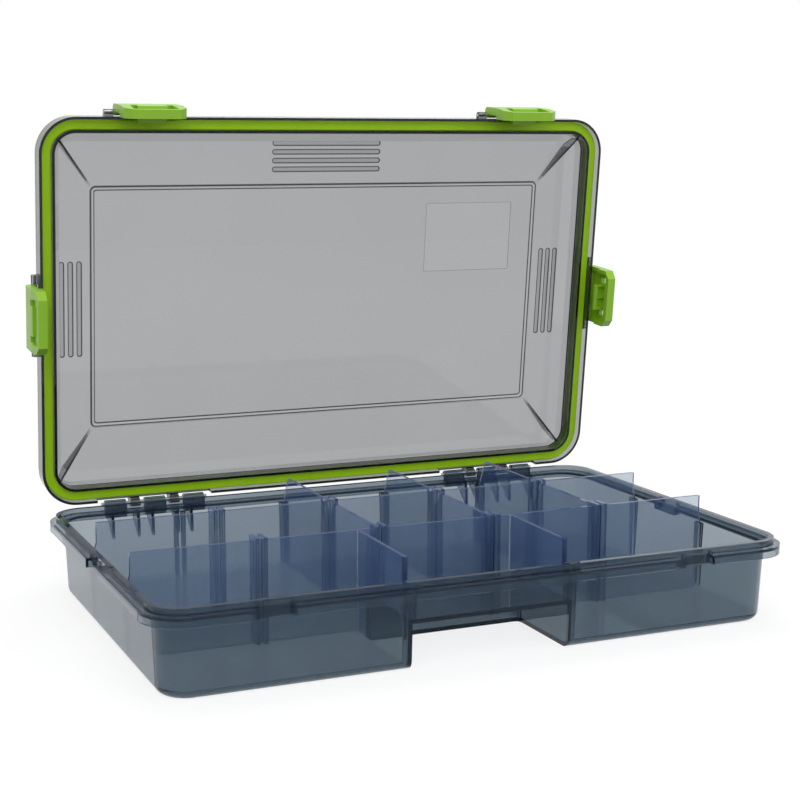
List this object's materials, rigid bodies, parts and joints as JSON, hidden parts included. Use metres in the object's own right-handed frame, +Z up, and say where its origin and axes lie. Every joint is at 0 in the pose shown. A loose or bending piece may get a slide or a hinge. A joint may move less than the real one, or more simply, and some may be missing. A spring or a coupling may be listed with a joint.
{
  "type": "tackle box",
  "caption": "Clear waterproof lure box: hinged lid with a sealing ring, snap latches, lift-out dividers that form small compartments, and a hand notch under the front.",
  "frame": {"origin": "centre of the tray's underside, on the surface that the box stands on", "axes": "+X along the box, to the right as seen from the front; +Y from the front towards the hinges; +Z up"},
  "size_m": [0.374, 0.2445, 0.279],
  "materials": {
    "clear_plastic": "clear grey-green polycarbonate, gloss",
    "seal": "matt lime green rubber",
    "latch_plastic": "lime green moulded plastic, semi-gloss",
    "pin_steel": "plain steel rod"
  },
  "bodies": {
    "tray": {"tray": "clear_plastic", "hinge_pin_left": "pin_steel", "hinge_pin_right": "pin_steel"},
    "lid": {"lid": "clear_plastic", "gasket": "seal", "latch_pin_front_left": "pin_steel", "latch_pin_front_right": "pin_steel", "latch_pin_left": "pin_steel", "latch_pin_right": "pin_steel"},
    "latch_front_left": {"latch_front_left": "latch_plastic"},
    "latch_front_right": {"latch_front_right": "latch_plastic"},
    "latch_left": {"latch_left": "latch_plastic"},
    "latch_right": {"latch_right": "latch_plastic"},
    "long_divider_front": {"long_divider_front": "clear_plastic"},
    "long_divider_rear": {"long_divider_rear": "clear_plastic"},
    "cross_divider_rear_left": {"cross_divider_rear_left": "clear_plastic"},
    "cross_divider_rear_middle": {"cross_divider_rear_middle": "clear_plastic"},
    "cross_divider_rear_right": {"cross_divider_rear_right": "clear_plastic"},
    "cross_divider_middle_left": {"cross_divider_middle_left": "clear_plastic"},
    "cross_divider_middle_middle": {"cross_divider_middle_middle": "clear_plastic"},
    "cross_divider_middle_right": {"cross_divider_middle_right": "clear_plastic"},
    "front_divider_left": {"front_divider_left": "clear_plastic"},
    "front_divider_right": {"front_divider_right": "clear_plastic"}
  },
  "joints": [
    {"name": "lid_hinge", "type": "hinge", "parent": "tray", "child": "lid", "pos_m": [0, 0.1144, 0.0457], "axis": [-1, 0, 0], "range_deg": [-85, 0]},
    {"name": "latch_front_left_swing", "type": "hinge", "parent": "lid", "child": "latch_front_left", "pos_m": [-0.118, 0.09954, 0.27407], "axis": [-1, 0, 0], "range_deg": [-9, 80]},
    {"name": "latch_front_right_swing", "type": "hinge", "parent": "lid", "child": "latch_front_right", "pos_m": [0.118, 0.09954, 0.27407], "axis": [-1, 0, 0], "range_deg": [-9, 80]},
    {"name": "latch_left_swing", "type": "hinge", "parent": "lid", "child": "latch_left", "pos_m": [-0.1819, 0.10951, 0.16011], "axis": [0, 0.0872, -0.9962], "range_deg": [-9, 80]},
    {"name": "latch_right_swing", "type": "hinge", "parent": "lid", "child": "latch_right", "pos_m": [0.1819, 0.10951, 0.16011], "axis": [0, -0.0872, 0.9962], "range_deg": [-9, 80]},
    {"name": "long_divider_front_lift", "type": "slide", "parent": "tray", "child": "long_divider_front", "axis": [0, 0, 1], "range_m": [0, 0.055]},
    {"name": "long_divider_rear_lift", "type": "slide", "parent": "tray", "child": "long_divider_rear", "axis": [0, 0, 1], "range_m": [0, 0.055]},
    {"name": "cross_divider_rear_left_lift", "type": "slide", "parent": "tray", "child": "cross_divider_rear_left", "axis": [0, 0, 1], "range_m": [0, 0.055]},
    {"name": "cross_divider_rear_middle_lift", "type": "slide", "parent": "tray", "child": "cross_divider_rear_middle", "axis": [0, 0, 1], "range_m": [0, 0.055]},
    {"name": "cross_divider_rear_right_lift", "type": "slide", "parent": "tray", "child": "cross_divider_rear_right", "axis": [0, 0, 1], "range_m": [0, 0.055]},
    {"name": "cross_divider_middle_left_lift", "type": "slide", "parent": "tray", "child": "cross_divider_middle_left", "axis": [0, 0, 1], "range_m": [0, 0.055]},
    {"name": "cross_divider_middle_middle_lift", "type": "slide", "parent": "tray", "child": "cross_divider_middle_middle", "axis": [0, 0, 1], "range_m": [0, 0.055]},
    {"name": "cross_divider_middle_right_lift", "type": "slide", "parent": "tray", "child": "cross_divider_middle_right", "axis": [0, 0, 1], "range_m": [0, 0.055]},
    {"name": "front_divider_left_lift", "type": "slide", "parent": "tray", "child": "front_divider_left", "axis": [0, 0, 1], "range_m": [0, 0.055]},
    {"name": "front_divider_right_lift", "type": "slide", "parent": "tray", "child": "front_divider_right", "axis": [0, 0, 1], "range_m": [0, 0.055]}
  ]
}
